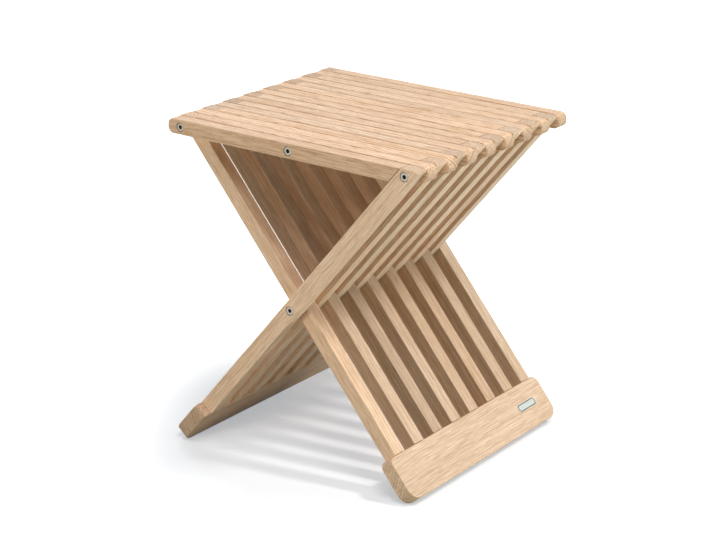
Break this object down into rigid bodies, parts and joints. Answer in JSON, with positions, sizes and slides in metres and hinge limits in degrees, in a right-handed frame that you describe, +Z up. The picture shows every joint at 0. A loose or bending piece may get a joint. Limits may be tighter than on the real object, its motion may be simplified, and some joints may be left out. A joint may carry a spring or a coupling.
{
  "type": "folding stool",
  "caption": "Wooden slatted folding stool with crossed leg frames, a flat slatted seat that hinges upwards in the middle to fold, and rounded foot rails.",
  "frame": {"origin": "on the floor under the middle of the seat", "axes": "+Z up, +X along the seat slats towards the right pivots, +Y along the rods away from the side in the picture"},
  "size_m": [0.4, 0.364, 0.45],
  "materials": {
    "seat_wood": "sanded, thin clear oil",
    "leg_wood": "sanded, thin clear oil",
    "rail_wood": "sanded, thin clear oil",
    "steel": "turned stainless",
    "plate": "satin, bare"
  },
  "bodies": {
    "right_leg_frame": {"right_foot_rail": "rail_wood", "blank_plate": "plate", "left_rod": "steel", "left_rod_bolt_1": "steel", "left_rod_bolt_2": "steel", "cross_rod": "steel", "cross_rod_bolt_1": "steel", "cross_rod_bolt_2": "steel", "right_leg_slat_1": "leg_wood", "right_leg_slat_2": "leg_wood", "right_leg_slat_3": "leg_wood", "right_leg_slat_4": "leg_wood", "right_leg_slat_5": "leg_wood", "right_leg_slat_6": "leg_wood", "right_leg_slat_7": "leg_wood", "right_leg_slat_8": "leg_wood"},
    "left_leg_frame": {"left_foot_rail": "rail_wood", "right_rod": "steel", "right_rod_bolt_1": "steel", "right_rod_bolt_2": "steel", "left_leg_slat_1": "leg_wood", "left_leg_slat_2": "leg_wood", "left_leg_slat_3": "leg_wood", "left_leg_slat_4": "leg_wood", "left_leg_slat_5": "leg_wood", "left_leg_slat_6": "leg_wood", "left_leg_slat_7": "leg_wood", "left_leg_slat_8": "leg_wood"},
    "left_seat_half": {"middle_bolt_left": "steel", "left_seat_slat_1": "seat_wood", "left_seat_slat_2": "seat_wood", "left_seat_slat_3": "seat_wood", "left_seat_slat_4": "seat_wood", "left_seat_slat_5": "seat_wood", "left_seat_slat_6": "seat_wood", "left_seat_slat_7": "seat_wood", "left_seat_slat_8": "seat_wood", "middle_pin_1": "steel", "middle_pin_2": "steel", "middle_pin_3": "steel", "middle_pin_4": "steel", "middle_pin_5": "steel", "middle_pin_6": "steel", "middle_pin_7": "steel", "middle_pin_8": "steel"},
    "right_seat_half": {"middle_bolt_right": "steel", "right_seat_slat_1": "seat_wood", "right_seat_slat_2": "seat_wood", "right_seat_slat_3": "seat_wood", "right_seat_slat_4": "seat_wood", "right_seat_slat_5": "seat_wood", "right_seat_slat_6": "seat_wood", "right_seat_slat_7": "seat_wood", "right_seat_slat_8": "seat_wood"}
  },
  "joints": [
    {"name": "leg_fold", "type": "hinge", "parent": "right_leg_frame", "child": "left_leg_frame", "pos_m": [0, 0, 0.2268], "axis": [0, -1, 0], "range_deg": [0, 74.4]},
    {"name": "left_seat_fold", "type": "hinge", "parent": "right_leg_frame", "child": "left_seat_half", "pos_m": [-0.179, 0, 0.44], "axis": [0, -1, 0], "range_deg": [0, 122.9]},
    {"name": "right_seat_fold", "type": "hinge", "parent": "left_leg_frame", "child": "right_seat_half", "pos_m": [0.179, 0, 0.44], "axis": [0, 1, 0], "range_deg": [0, 122.9]}
  ],
  "couplings": [
    {"joint": "left_seat_fold", "follows": "leg_fold", "ratio": 1.6508},
    {"joint": "right_seat_fold", "follows": "leg_fold", "ratio": 1.6508}
  ]
}
